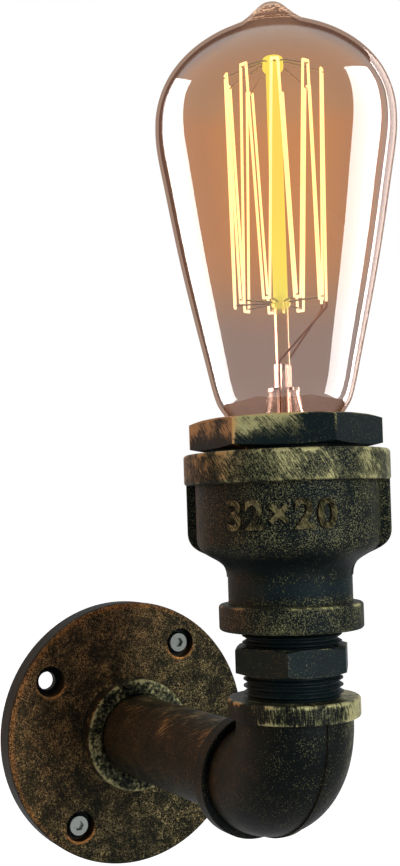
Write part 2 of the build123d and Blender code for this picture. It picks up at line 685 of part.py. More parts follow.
def contact_spring():
    low = WELL_Z + SPRING_END_GAP + SPRING_WIRE_R
    high = TIP_Z - CONTACT_HEAD_H - SPRING_END_GAP - SPRING_WIRE_R
    helix = Pos(0, 0, low) * Helix((high - low) / SPRING_TURNS, high - low, SPRING_R)
    start = helix.edge()
    section = Plane(origin=start @ 0, z_dir=start % 0) * Circle(SPRING_WIRE_R)
    return on_lamp_axis(sweep(section, path=helix, is_frenet=True))


# --------------------------------------------------------------------- wires
def wire_line(side):
    """Centre line of one wire's insulation, from its terminal to the back of the pipe."""
    top = (side * TERMINAL_AT, -REACH, HOLDER_BOSS_Z - STRIP_T - WIRE_END_GAP)
    route = [(side * x, y - REACH, z) for x, y, z in WIRE_ROUTE]
    end = (side * WIRE_SPREAD, -STRIP_BACK_Y, 0)
    return Spline(top, *route, end, tangents=[(0, 0, -1), (0, 1, 0)])


def wire(side):
    line = wire_line(side).edge()
    section = Plane(origin=line @ 0, z_dir=line % 0) * Circle(WIRE_R)
    cable = sweep(section, path=line)
    top = (line @ 0).Z
    core = disc(CORE_R, top - MERGE, WIRE_HOLE_TOP - WIRE_END_GAP)
    cable += Pos(side * TERMINAL_AT, -REACH, 0) * core
    tail = along_arm(disc(CORE_R, CORE_BACK_Y, STRIP_BACK_Y + MERGE))
    return cable + Pos(side * WIRE_SPREAD, 0, 0) * tail


def wire_ferrules():
    sleeve = tube(CORE_R + FERRULE_GAP + FERRULE_WALL, CORE_R + FERRULE_GAP, CORE_BACK_Y, STRIP_BACK_Y)
    sleeve = along_arm(sleeve)
    return Compound([Pos(side * WIRE_SPREAD, 0, 0) * sleeve for side in (-1, 1)])


# ---------------------------------------------------------------------- lamp
def bulb_tip():
    """The solder contact: the same all round, so that it may slide while the lamp turns."""
    rim = (TIP_R, TIP_Z + TIP_DOME)
    crown = (TIP_CROWN_R, 0, TIP_Z + TIP_CROWN)
    edges = [ThreePointArc((0, 0, TIP_Z), crown, (rim[0], 0, rim[1])).edge()]
    edges += outline([rim, (TIP_R, TIP_TOP), (TIP_PIN_R, TIP_TOP)])
    edges += outline([(TIP_PIN_R, TIP_TOP), (TIP_PIN_R, TIP_PIN_TOP), (0, TIP_PIN_TOP), (0, TIP_Z)])
    return on_lamp_axis(turned(edges))


def bulb_insulator():
    rim_r = CAP_ROOT_R - CAP_WALL - INSULATOR_GAP
    hole_r = TIP_PIN_R + INSULATOR_GAP
    rim_z = CAP_THREAD_Z + INSULATOR_LIFT
    return on_lamp_axis(
        turned_points(
            [
                (hole_r, TIP_TOP),
                (INSULATOR_NOSE_R, TIP_TOP),
                (rim_r, rim_z),
                (rim_r, rim_z + INSULATOR_T),
                (hole_r, rim_z + INSULATOR_T),
            ]
        )
    )


def bulb_cap():
    outer = knuckle(CAP_CREST_R, CAP_ROOT_R, CAP_PITCH, CAP_THREAD_Z, CAP_SKIRT_Z)
    below = CAP_THREAD_Z - CAP_PITCH
    inner = knuckle(CAP_CREST_R - CAP_WALL, CAP_ROOT_R - CAP_WALL, CAP_PITCH, below, CAP_SKIRT_Z + CAP_LAP)
    body = outer + disc(CAP_SKIRT_R, CAP_SKIRT_Z - CAP_WALL, CAP_TOP_Z)
    body -= inner
    return on_lamp_axis(body - disc(CAP_SKIRT_R - CAP_WALL, CAP_SKIRT_Z, CAP_TOP_Z + OVERRUN))


def cap_cement():
    outer = CAP_SKIRT_R - CAP_WALL - CEMENT_GAP
    return on_lamp_axis(tube(outer, NECK_GLASS_R + CEMENT_GAP, NECK_GLASS_Z, CAP_TOP_Z - CEMENT_INSET))


def glass_line(inset):
    """The glass's profile from neck to tip, moved inwards by the given amount."""
    neck = (NECK_GLASS_R - inset, 0, GLASS_CURVE_Z)
    flank = [(r - inset, 0, z) for r, z in GLASS_FLANK]
    dome = [(r - inset, 0, z - inset * (1 - r / LAMP_R)) for r, z in GLASS_DOME]
    widest = (LAMP_R - inset, 0, LAMP_WIDEST_Z)
    tip = (0, 0, LAMP_TOP - inset)
    lower = Spline(neck, *flank, widest)
    upper = Spline(widest, *dome, tip, tangents=[(0, 0, 1), (-1, 0, 0)])
    return [lower.edge(), upper.edge()]


def bulb_glass():
    neck_r = NECK_GLASS_R
    inner_r = neck_r - GLASS_WALL
    low, end = GLASS_CURVE_Z, NECK_GLASS_Z
    edges = glass_line(0)
    edges += Line((0, 0, LAMP_TOP), (0, 0, LAMP_TOP - GLASS_WALL)).edges()
    edges += glass_line(GLASS_WALL)
    edges += outline([(inner_r, low), (inner_r, end), (neck_r, end), (neck_r, low)])
    return on_lamp_axis(turned(edges))


def stem_line(inset, top):
    return Spline(
        (STEM_FLARE_R - inset, 0, STEM_FLARE_Z),
        (STEM_WAIST_R - inset, 0, STEM_WAIST_Z),
        (STEM_WAIST_R - inset - STEM_TAPER, 0, top),
        tangents=[(-0.7, 0, 0.7), (0, 0, 1)],
    ).edge()


def bulb_stem():
    outer_top = (STEM_WAIST_R - STEM_TAPER, PRESS_Z + STEM_WALL)
    inner_top = (STEM_WAIST_R - STEM_WALL - STEM_TAPER, PRESS_Z)
    edges = [stem_line(0, outer_top[1])]
    edges += outline([outer_top, (0, outer_top[1]), (0, inner_top[1]), inner_top])
    edges.append(stem_line(STEM_WALL, inner_top[1]))
    edges += outline([(STEM_FLARE_R - STEM_WALL, STEM_FLARE_Z), (STEM_FLARE_R, STEM_FLARE_Z)])
    body = turned(edges)
    flat = Pos(0, 0, PRESS_Z) * Rot(0, 0, PRESS_ANGLE) * RectangleRounded(
        2 * PRESS_HALF_L, 2 * PRESS_HALF_W, PRESS_HALF_W - PRESS_CORNER
    )
    body += extrude(flat, PRESS_TOP - PRESS_Z)
    for side in (0, 1):
        x, y, _ = polar(LEAD_AT, PRESS_ANGLE + 180 * side, 0)
        body -= Pos(x, y, 0) * disc(LEAD_R + LEAD_GAP, PRESS_Z - OVERRUN, PRESS_TOP + OVERRUN)
    return on_lamp_axis(body)


def exhaust_tube():
    return on_lamp_axis(tube(EXHAUST_R, EXHAUST_BORE_R, EXHAUST_END, PRESS_Z - TOUCH_GAP))


def support_rod():
    low = PRESS_TOP + TOUCH_GAP
    body = disc(ROD_R, low, ROD_TOP)
    for button_r, button_low, button_top in (
        (LOWER_BUTTON_R, LOWER_BUTTON_Z, LOWER_BUTTON_TOP),
        (UPPER_BUTTON_R, UPPER_BUTTON_Z, ROD_TOP),
    ):
        button = disc(button_r, button_low, button_top)
        body += fillet(button.edges(), BUTTON_EDGE)
    return on_lamp_axis(body)


def top_angle(k):
    return CAGE_START + CAGE_STEP * (k + 0.5)


def low_angle(k):
    return CAGE_START + CAGE_STEP * (k + 1)


def hook_droop():
    """How far an upper hook drops for each millimetre outwards."""
    return (CAGE_HUB_Z - CAGE_TOP_Z) / (CAGE_TOP_R - UPPER_BUTTON_R - HOOK_LEVEL)


def support_hooks():
    hooks = []
    end_z = CAGE_TOP_Z - HOOK_PAST * hook_droop()
    for k in range(CAGE_LOOPS):
        start = polar(UPPER_BUTTON_R + TOUCH_GAP, top_angle(k), CAGE_HUB_Z)
        bend = polar(UPPER_BUTTON_R + HOOK_LEVEL, top_angle(k), CAGE_HUB_Z)
        end = polar(CAGE_TOP_R + HOOK_PAST, top_angle(k), end_z)
        hooks.append(wire_through([start, bend, end], HOOK_R))
    for k in range(CAGE_LOOPS - 1):
        start = polar(LOWER_BUTTON_R + TOUCH_GAP, low_angle(k), CAGE_LOW_Z)
        end = polar(CAGE_LOW_R + HOOK_PAST, low_angle(k), CAGE_LOW_Z)
        hooks.append(wire_through([start, end], HOOK_R))
    return on_lamp_axis(Compound(hooks))


def cage_point(radius, angle, z, side):
    """A point beside a hook, so that the filament passes over it without touching."""
    x, y, _ = polar(radius, angle, 0)
    dx, dy, _ = polar(side * LOOP_HALF_W, angle + 90, 0)
    return (x + dx, y + dy, z)


def cage_ends():
    return [low_angle(-1), low_angle(CAGE_LOOPS - 1)]


def filament():
    lift = HOOK_R + FILAMENT_R + TOUCH_GAP
    top = CAGE_TOP_Z + lift * sqrt(1 + hook_droop() ** 2)
    low = CAGE_LOW_Z - lift
    first, last = cage_ends()
    points = [polar(CAGE_LOW_R, first, CAGE_LOW_Z)]
    for k in range(CAGE_LOOPS):
        points += [cage_point(CAGE_TOP_R, top_angle(k), top, side) for side in (-1, 1)]
        if k < CAGE_LOOPS - 1:
            points += [cage_point(CAGE_LOW_R, low_angle(k), low, side) for side in (-1, 1)]
    points.append(polar(CAGE_LOW_R, last, CAGE_LOW_Z))
    return on_lamp_axis(wire_through(points, FILAMENT_R))


def lead(start, exit_angle, cage_angle):
    """One lead, from the given points in the cap, through the press, to an end of the filament."""
    top = CAGE_LOW_Z - TOUCH_GAP
    above_press = polar(LEAD_AT, exit_angle, PRESS_TOP + LEAD_FREE)
    hook = polar(CAGE_LOW_R, cage_angle, top - LEAD_HOOK)
    return wire_through(start + [above_press, hook, polar(CAGE_LOW_R, cage_angle, top)], LEAD_R)


def lead_in_wires():
    back, front = cage_ends()
    side_start = polar(SIDE_LEAD_R, PRESS_ANGLE, SIDE_LEAD_Z)
    side_bend = polar(LEAD_AT, PRESS_ANGLE, SIDE_LEAD_BEND_Z)
    tip_low = TIP_PIN_TOP + TOUCH_GAP
    tip_start = [(0, 0, tip_low), (0, 0, tip_low + TIP_LEAD_RISE)]
    tip_bend = polar(LEAD_AT, PRESS_ANGLE + 180, TIP_LEAD_BEND_Z)
    side_lead = lead([side_start, side_bend], PRESS_ANGLE, back)
    tip_lead = lead(tip_start + [tip_bend], PRESS_ANGLE + 180, front)
    return on_lamp_axis(Compound([side_lead, tip_lead]))


# -------------------------------------------------------------------- output
NODES = {
    "wall_flange": wall_flange,
    "mounting_bar": mounting_bar,
    "plate_screws": plate_screws,
    "earth_washer": earth_washer,
    "earth_screw": earth_screw,
    "arm_pipe": arm_pipe,
    "elbow": elbow,
    "hex_nipple": hex_nipple,
    "reducer": reducer,
    "hex_bushing": hex_bushing,
    "holder_body": holder_body,
    "screw_shell": screw_shell,
    "shell_screw": shell_screw,
    "neutral_terminal": neutral_terminal,
    "live_terminal": live_terminal,
    "terminal_screws": terminal_screws,
    "centre_contact": centre_contact,
    "contact_spring": contact_spring,
    "live_wire": lambda: wire(-1),
    "neutral_wire": lambda: wire(1),
    "wire_ferrules": wire_ferrules,
    "bulb_tip": bulb_tip,
    "bulb_insulator": bulb_insulator,
    "bulb_cap": bulb_cap,
    "cap_cement": cap_cement,
    "bulb_glass": bulb_glass,
    "bulb_stem": bulb_stem,
    "exhaust_tube": exhaust_tube,
    "support_rod": support_rod,
    "support_hooks": support_hooks,
    "lead_in_wires": lead_in_wires,
    "filament": filament,
}

os.makedirs("parts", exist_ok=True)
for name, build in NODES.items():
    shape = build()
    shape.label = name
    export_step(shape, f"parts/{name}.step")
    box = shape.bounding_box()
    print(f"{name:18s} {len(shape.solids())} solids  {shape.volume:10.1f} mm3  {box.min} {box.max}")
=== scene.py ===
import math

import bmesh
import bpy
from mathutils import Matrix, Vector
from mathutils.geometry import interpolate_bezier


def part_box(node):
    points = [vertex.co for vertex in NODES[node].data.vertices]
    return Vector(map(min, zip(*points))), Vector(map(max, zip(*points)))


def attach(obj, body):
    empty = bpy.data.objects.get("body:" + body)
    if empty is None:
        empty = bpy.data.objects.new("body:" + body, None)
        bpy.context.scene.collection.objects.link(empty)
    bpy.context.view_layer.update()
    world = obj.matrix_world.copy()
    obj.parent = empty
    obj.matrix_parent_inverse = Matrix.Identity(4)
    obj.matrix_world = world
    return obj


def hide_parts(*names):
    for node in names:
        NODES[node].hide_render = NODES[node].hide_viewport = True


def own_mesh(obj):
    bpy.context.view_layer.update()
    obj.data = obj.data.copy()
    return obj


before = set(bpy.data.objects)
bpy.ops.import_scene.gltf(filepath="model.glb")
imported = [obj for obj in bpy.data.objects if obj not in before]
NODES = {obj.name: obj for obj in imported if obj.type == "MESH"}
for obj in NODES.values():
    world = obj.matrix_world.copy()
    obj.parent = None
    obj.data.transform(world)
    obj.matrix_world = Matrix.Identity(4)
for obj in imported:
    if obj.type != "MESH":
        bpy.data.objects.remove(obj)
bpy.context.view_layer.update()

bl_info = {
    "name": "Pipe Wall Light",
    "version": (1, 0, 0),
    "blender": (4, 5, 0),
    "location": "3D View > Sidebar > Pipe Light",
    "description": "Dresses a pipe wall light: cast iron fittings, tinted filament lamp and studio",
    "category": "Object",
}

MM = 0.001
PHOTO_WIDTH, PHOTO_HEIGHT = 400, 866

IRON_NODES = ("wall_flange", "arm_pipe", "elbow", "hex_nipple", "reducer", "hex_bushing")
MIRRORING_NODES = ("bulb_stem", "exhaust_tube", "support_rod", "bulb_tip")
# The white cards that the glass mirrors: degrees from the camera towards the picture's left, then
# width in metres, radiance and colour.
CARDS = {
    "left_card": (111, 0.33, 9.0, (1, 1, 1)),
    "right_card": (-93, 0.31, 10.0, (1, 0.98, 0.97)),
    "edge_card": (-140, 0.21, 22.0, (1.0, 0.84, 0.80)),
}
# Distances from the lamp's axis, heights and sizes of the cards and lamps, in metres.
CARD_DISTANCE, CARD_Z, CARD_LENGTH = 0.45, 0.20, 0.65
SOFTBOX_DISTANCE, SOFTBOX_Z, SOFTBOX_WIDTH, SOFTBOX_LENGTH = 0.9, 0.50, 0.5, 1.0
STRIP_DISTANCE, STRIP_Z, STRIP_WIDTH, STRIP_LENGTH = 0.9, 0.12, 0.09, 0.9
GLASS_LOW, GLASS_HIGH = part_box("bulb_glass")
REACH = -(GLASS_LOW.y + GLASS_HIGH.y) / 2
LAMP_AXIS = Vector((0, -REACH, 0))

# Radii and places of the fittings' forms, in millimetres, as the finishes need them. A Z or Y is
# that coordinate, with the arm's axis at Z 0 and the wall at Y 0. A face is so far out from the wall.
HUB_FACE = -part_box("wall_flange")[0].y / MM
HUB_R, PLATE_R, PLATE_FACE = 18.4, 19.0, 7.5
PLATE_RIM_R, PLATE_RIM_FACE = 43.6, 7.4
HOLE_CIRCLE, HOLE_RIM_R = 35.35, 5.3
FLANGE_HOLES = [math.radians(55.5 + 90 * k) for k in range(4)]  # turns round the flange's middle
PIPE_R = 13.35
ELBOW_R, COLLAR_R, COLLAR_LOW_Z, COLLAR_LIP_Z, COLLAR_TOP_Z = 17.6, 17.3, 19.7, 20.1, 24.7
WALL_COLLAR_Y = -87.6
NIPPLE_HEX_R, NIPPLE_HEX_LOW_Z, NIPPLE_HEX_TOP_Z = 13.55, 31.6, 38.7
LOW_BAND_R, LOW_BAND_Z, LOW_BAND_RIM_Z = 18.9, 49.8, 49.6
NECK_Z, UNDER_SHOULDER_Z, SHOULDER_Z = 54.0, 60.0, 66.0
TOP_BAND_R, TOP_BAND_Z, TOP_BAND_LIP_Z, TOP_BAND_RIM_Z = 27.0, 81.6, 81.9, 89.4
RIB_R = 25.7
BUSHING_R, BUSHING_TOP_Z = 25.6, 98.6
BUSHING_CORNER = 25.6  # degrees from the X axis to a corner of the hexagon

# The plain digits cast on the reducer. The turn and the spacing aside, their sizes are in millimetres.
DIGITS = "32\u00d720"
DIGITS_TURN = math.radians(231.5)
DIGITS_Z = 73.0
DIGITS_ROOT, DIGITS_FACE = 24.2, 25.1
DIGITS_HEIGHT, DIGITS_SWELL, DIGITS_SPACING = 10.5, 0.22, 1.12
DIGITS_LONGEST_EDGE = 1.2


# ------------------------------------------------------------------ sizes
def length(name, millimetres, description):
    """A length property, given in millimetres and kept in metres."""
    return bpy.props.FloatProperty(
        name=name, description=description, default=millimetres * MM, unit="LENGTH", precision=5
    )


def angle(name, degrees, description):
    return bpy.props.FloatProperty(
        name=name, description=description, default=math.radians(degrees), unit="ROTATION"
    )


def colour(name, rgb, description):
    return bpy.props.FloatVectorProperty(
        name=name, description=description, default=rgb, size=3, subtype="COLOR", min=0, max=1
    )


def amount(name, value, description):
    return bpy.props.FloatProperty(name=name, description=description, default=value)


class StageSizes(bpy.types.PropertyGroup):
    """Camera, lamps and floor."""

    camera_x: length("Camera X", -172.86, "Camera's place along the wall")
    camera_y: length("Camera Y", -364.79, "Camera's place in front of the wall")
    camera_z: length("Camera Z", 74.49, "Camera's height over the arm")
    yaw: angle("Yaw", 27.124, "Camera's turn from straight at the wall")
    pitch: angle("Pitch", 0.7, "Camera's tilt upwards")
    roll: angle("Roll", -1.823, "Camera's turn about its own line of sight")
    focal: amount("Focal length", 1155.04, "Focal length in pixels of the photograph")
    centre_x: amount("Centre X", 150.0, "Pixel column that the camera's axis meets")
    centre_y: amount("Centre Y", 500.0, "Pixel row that the camera's axis meets")
    floor_z: length("Floor", -260.0, "Height of the floor")
    floor_size: length("Floor size", 12000.0, "Width of the floor")
    floor_colour: colour("Floor colour", (0.8, 0.8, 0.8), "Colour of the floor")
    floor_lift: amount("Floor lift", 0.78, "Light that the floor adds for the camera")
    ambient: amount("Ambient", 0.32, "Strength of the even light from all round")


class PaintColours(bpy.types.PropertyGroup):
    """Colours of the brushed iron."""

    black: colour("Black", (0.0012, 0.0012, 0.0010), "Base coat")
    slate: colour("Slate", (0.0032, 0.0066, 0.0075), "Base coat where it is cooler")
    olive: colour("Olive", (0.043, 0.040, 0.020), "Thin gold over the base coat")
    gold: colour("Gold", (0.225, 0.195, 0.092), "Brushed gold on bands and edges")
    # Brown and copper also paint warm light on the faces turned to the left.
    brown: colour("Brown", (0.056, 0.029, 0.013), "Thin copper over the base coat")
    copper: colour("Copper", (0.34, 0.145, 0.045), "Copper on the edges that face left")


class LampColours(bpy.types.PropertyGroup):
    """Colours of the lamp."""

    amber: colour("Amber", (0.82, 0.645, 0.48), "Glass round the filament, through one face")
    smoke: colour("Smoke", (0.76, 0.655, 0.57), "Glass of the dome, through one face")
    mauve: colour("Mauve", (0.71, 0.625, 0.585), "Glass below the filament, through one face")
    rim: colour("Rim", (0.57, 0.45, 0.38), "Glass seen edge on, through one face")
    # Warmth is a painted glow: light that the glass round the filament gives off, though glass is no lamp.
    warmth: colour("Warmth", (1.0, 0.42, 0.10), "Light that the glass round the filament gives off")
    # Frost is a painted glow: the tip's crinkled glass gives off this colour of light.
    frost: colour("Frost", (1.0, 0.60, 0.38), "Crinkled glass of the tip")
    wire: colour("Wire", (1.0, 0.80, 0.42), "Cooler part of the filament")
    hot_wire: colour("Hot wire", (1.0, 0.88, 0.62), "Hottest part of the filament")
    # Rod is a painted glow given off by the glass rod.
    rod: colour("Rod", (0.84, 0.96, 0.14), "Light in the glass rod")


# -------------------------------------------------------------- materials
class Socket:
    """A shader output that takes Python's operators."""

    def __init__(self, finish, output):
        self.finish = finish
        self.output = output

    def maths(self, operation, *values):
        return self.finish.node("ShaderNodeMath", {"operation": operation}, values)

    def __add__(self, other):
        return self.maths("ADD", self, other)

    __radd__ = __add__

    def __sub__(self, other):
        return self.maths("SUBTRACT", self, other)

    def __rsub__(self, other):
        return self.maths("SUBTRACT", other, self)

    def __mul__(self, other):
        return self.maths("MULTIPLY", self, other)

    __rmul__ = __mul__

    def __truediv__(self, other):
        return self.maths("DIVIDE", self, other)

    def __pow__(self, other):
        return self.maths("POWER", self, other)

    def __neg__(self):
        return self.maths("MULTIPLY", self, -1.0)

    def __abs__(self):
        return self.maths("ABSOLUTE", self)

    def most(self, other):
        return self.maths("MAXIMUM", self, other)

    def least(self, other):
        return self.maths("MINIMUM", self, other)

    def __gt__(self, other):
        return self.maths("GREATER_THAN", self, other)

    def wrap(self, period):
        """The value folded into a period, from 0 up to it."""
        return self.maths("FLOORED_MODULO", self, period)


class Finish:
    """The node tree of a new material, or of the world where one is given."""

    def __init__(self, name, world=None):
        self.owner = world or bpy.data.materials.new(name)
        self.owner.use_nodes = True
        self.tree = self.owner.node_tree
        self.tree.nodes.clear()

    def node(self, kind, settings=None, values=(), output=0):
        made = self.tree.nodes.new(kind)
        for name, setting in (settings or {}).items():
            setattr(made, name, setting)
        pairs = values.items() if isinstance(values, dict) else enumerate(values)
        for key, value in pairs:
            if isinstance(value, Socket):
                self.tree.links.new(value.output, made.inputs[key])
            else:
                made.inputs[key].default_value = value
        return Socket(self, made.outputs[output] if made.outputs else None)

    def object_place(self):
        """Object coordinates in millimetres, as one vector."""
        place = self.node("ShaderNodeTexCoord", output="Object")
        return self.node("ShaderNodeVectorMath", {"operation": "SCALE"}, {0: place, "Scale": 1 / MM})

    def facing(self):
        """The surface's normal in the object's own frame."""
        return self.node("ShaderNodeTexCoord", output="Normal")

    def parts(self, vector):
        split = self.node("ShaderNodeSeparateXYZ", None, (vector,))
        outputs = split.output.node.outputs
        return [Socket(self, outputs[axis]) for axis in "XYZ"]

    def joined(self, x, y, z):
        return self.node("ShaderNodeCombineXYZ", None, (x, y, z))

    def grain(self, vector, size, detail=2.0, roughness=0.5, twist=0.0):
        """Noise whose features are about size millimetres wide, from 0 to 1."""
        values = {"Vector": vector, "Scale": 1 / size, "Detail": detail, "Roughness": roughness}
        values["Distortion"] = twist
        return self.node("ShaderNodeTexNoise", {"noise_dimensions": "3D"}, values)

    def step(self, value, low, high):
        """Rises smoothly from 0 to 1 as value goes from low to high."""
        settings = {"interpolation_type": "SMOOTHSTEP"}
        return self.node("ShaderNodeMapRange", settings, {"Value": value, "From Min": low, "From Max": high})

    def rise(self, value, middle, half=0.4):
        """Rises smoothly from 0 to 1 where value passes middle, from half before it to half past it."""
        return self.step(value, middle - half, middle + half)

    def near(self, value, middle, width):
        """1 where value is at middle, and 0 from width away."""
        return 1 - self.step(abs(value - middle), 0.0, width)

    def mixed(self, share, first, second):
        settings = {"data_type": "RGBA", "clamp_factor": True}
        made = self.node("ShaderNodeMix", settings)
        node = made.output.node
        sockets = {"Factor": node.inputs[0], "A": node.inputs[6], "B": node.inputs[7]}
        for key, value in (("Factor", share), ("A", first), ("B", second)):
            if isinstance(value, Socket):
                self.tree.links.new(value.output, sockets[key])
            elif key == "Factor":
                sockets[key].default_value = value
            else:
                sockets[key].default_value = (*value, 1.0)
        return Socket(self, node.outputs[2])

    def bump(self, height, distance):
        """A normal from a height between 0 and 1 that stands for distance millimetres."""
        values = {"Height": height, "Distance": distance * MM, "Strength": 1.0}
        return self.node("ShaderNodeBump", None, values)

    def principled(self, base, roughness, **others):
        values = {"Roughness": roughness}
        values.update({key.replace("_", " "): value for key, value in others.items()})
        if isinstance(base, Socket):
            values["Base Color"] = base
        else:
            values["Base Color"] = (*base, 1.0)
        return self.node("ShaderNodeBsdfPrincipled", None, values)

    def blended(self, share, first, second):
        """One shader where share is 0 and the other where it is 1."""
        return self.node("ShaderNodeMixShader", None, (share, first, second))

    def glowing(self, rgb, strength=1.0):
        return self.node("ShaderNodeEmission", None, {"Color": (*rgb, 1.0), "Strength": strength})

    def seen_rays(self):
        """1 for what the camera sees, straight or in metal or glass, and 0 for light on the object."""
        outputs = self.node("ShaderNodeLightPath").output.node.outputs
        names = ("Is Camera Ray", "Is Glossy Ray", "Is Transmission Ray")
        camera, mirrored, through = (Socket(self, outputs[name]) for name in names)
        return camera.most(mirrored).most(through)

    def shown(self, shader, kind="ShaderNodeOutputMaterial"):
        """Ends the tree with a shader and returns the material, or the world."""
        self.node(kind, None, (shader,))
        return self.owner


def dress(piece, material):
    """Gives a piece one material."""
    piece.data.materials.clear()
    piece.data.materials.append(material)
    return piece


class Iron:
    """The brushed iron finish of one piece: a black coat, with gold and copper dry-brushed over it, and with
    painted warm light in brown and copper on the faces turned to the left.

    A stroke is the width and length of the brush's lines in millimetres, and slant their lean.
    Without a stroke the gold is dabbed on. Reach is the radius at which the lines have that width.
    """

    def __init__(self, name, along_arm=False, slant=0.35, stroke=(0.30, 2.4), reach=25.0):
        self.finish = finish = Finish(name)
        self.place = finish.object_place()
        self.x, self.y, self.z = x, y, z = finish.parts(self.place)
        if along_arm:
            first, second, self.height = x, z, -y
        else:
            first, second, self.height = x, y + REACH / MM, z
        self.radius = (first * first + second * second) ** 0.5
        self.turn = finish.node("ShaderNodeMath", {"operation": "ARCTAN2"}, (second, first))
        if stroke:
            width, length = stroke
            across = self.turn * reach + self.height * slant
            lines = finish.joined(across / width, self.height / length, self.turn * 2.0)
            self.strokes = finish.grain(lines, 1.0, detail=2.0, roughness=0.7)
        else:
            self.strokes = finish.grain(self.place, 1.2, detail=3.0)
        self.blotch = finish.grain(self.place, 6.0, detail=4.0, roughness=0.65)
        self.sand = finish.grain(self.place, 0.34, detail=1.5, roughness=0.5)
        sideways, inwards, upwards = finish.parts(finish.facing())
        # Painted warm light: faces turned to the left, up and towards the wall take brown and copper, as if a
        # warm lamp shone from the upper left.
        self.lit_from_left = finish.step(sideways * -0.90 + inwards * 0.32 + upwards * 0.30, 0.42, 1.0)

    def worn(self):
        """1 on patches where an edge has kept its gold."""
        return self.finish.step(self.blotch, 0.42, 0.62)

    def edge(self, radius, height, reach):
        """1 on the ring at that radius and height, and 0 from reach away."""
        dr = self.radius - radius
        dh = self.height - height
        return 1 - self.finish.step((dr * dr + dh * dh) ** 0.5, 0.0, reach)

    def paint(self, cover, dust=0.2, slate=0.3, copper=0.0, rough=0.42, relief=0.12, worm=None, face=None):
        """The finished material. Cover, dust, slate and copper say how much of each there is, 0 to 1. Copper
        also carries painted warm light where a caller gives it so.

        Worm is the pattern of a hammered face, and face is 1 where there is one.
        """
        f = self.finish
        colours = bpy.context.scene.pipe_paint
        field = self.strokes * 0.56 + self.blotch * 0.25 + self.sand * 0.19
        if worm is not None:
            field = field * (1 - face * 0.55) + worm * 0.33 + face * 0.13
        cover = cover * (0.45 + self.blotch * 1.1)
        low = 0.74 - cover * 0.50
        olive = f.step(field - low, -0.07, 0.05)
        gold = f.step(field - low, 0.02, 0.17)
        dots = f.step(self.sand + self.blotch * 0.30 + dust * 0.30, 0.80, 0.93)
        base = f.mixed(slate, tuple(colours.black), tuple(colours.slate))
        # Painted warm light: the faces turned to the left, and the copper share, blend the coat towards brown
        # and copper.
        warm = self.lit_from_left * (0.30 + self.blotch * 1.1) + copper * (0.4 + self.blotch * 1.2)
        warm = warm.least(1.0)
        thin = f.mixed(warm, tuple(colours.olive), tuple(colours.brown))
        bright = f.mixed(warm, tuple(colours.gold), tuple(colours.copper))
        base = f.mixed((olive * 0.85).most(dots * 0.75).most(warm * 0.42), base, thin)
        base = f.mixed(gold.most(dots * dots * 0.22), base, bright)
        fine = f.grain(self.place, 0.7, detail=3.0, roughness=0.65)
        height = fine * 0.5 + self.blotch * 0.5 + gold * 0.2 + self.sand * 0.12
        if worm is not None:
            height = height + worm * 1.4
        normal = f.bump(height, relief)
        roughness = rough + fine * 0.16 - gold * 0.06
        shader = f.principled(base, roughness, Metallic=gold * 0.3, Normal=normal, IOR=1.11)
        return f.shown(shader)


def plain_finish(name, rgb, roughness, metallic=0.0, wear=0.15, size=1.2, relief=0.02, **others):
    """A simple finish with a little uneven colour, roughness and relief."""
    f = Finish(name)
    patch = f.grain(f.object_place(), size, detail=4.0, roughness=0.6)
    dark = tuple(channel * (1 - wear) for channel in rgb)
    base = f.mixed(patch, dark, rgb)
    uneven = roughness * 0.8 + patch * roughness * 0.4
    shader = f.principled(base, uneven, Metallic=metallic, Normal=f.bump(patch, relief), **others)
    return f.shown(shader)


# ------------------------------------------------------------------ stage
def aimed_camera(sizes):
    """The camera that the photograph was taken with, as a matrix of its place and turn."""
    across = Vector((math.cos(sizes.yaw), -math.sin(sizes.yaw), 0))
    level = math.cos(sizes.pitch)
    ahead = Vector((math.sin(sizes.yaw) * level, math.cos(sizes.yaw) * level, math.sin(sizes.pitch)))
    above = across.cross(ahead)
    right = across * math.cos(sizes.roll) + above * math.sin(sizes.roll)
    up = above * math.cos(sizes.roll) - across * math.sin(sizes.roll)
    turn = Matrix((right, up, -ahead)).transposed().to_4x4()
    return Matrix.Translation((sizes.camera_x, sizes.camera_y, sizes.camera_z)) @ turn


def softbox(name, place, aim, width, height, radiance, warmth=(1, 1, 1)):
    """A flat rectangular lamp of even brightness."""
    light = bpy.data.lights.new(name, "AREA")
    light.shape = "RECTANGLE"
    light.size, light.size_y = width, height
    light.energy = radiance * math.pi * width * height
    light.color = warmth
    lamp = bpy.data.objects.new(name, light)
    bpy.context.scene.collection.objects.link(lamp)
    way = (Vector(aim) - Vector(place)).normalized()
    lamp.matrix_world = Matrix.Translation(place) @ way.to_track_quat("-Z", "Y").to_matrix().to_4x4()
    return lamp


def light_only(lamp, names):
    """Keeps a lamp's light to the named nodes, and to what is added to its collection later."""
    lit = bpy.data.collections.new(lamp.name + "_lights")
    for name in names:
        lit.objects.link(NODES[name])
    lamp.light_linking.receiver_collection = lit


def around_lamp(camera_place, left_degrees, distance, height):
    """A place round the lamp's axis, turned from the camera's side towards the picture's left."""
    towards = Vector((camera_place.x, camera_place.y, 0)) - Vector((LAMP_AXIS.x, LAMP_AXIS.y, 0))
    towards.normalize()
    turn = Matrix.Rotation(-math.radians(left_degrees), 3, "Z")
    place = turn @ towards * distance + LAMP_AXIS
    return Vector((place.x, place.y, height))


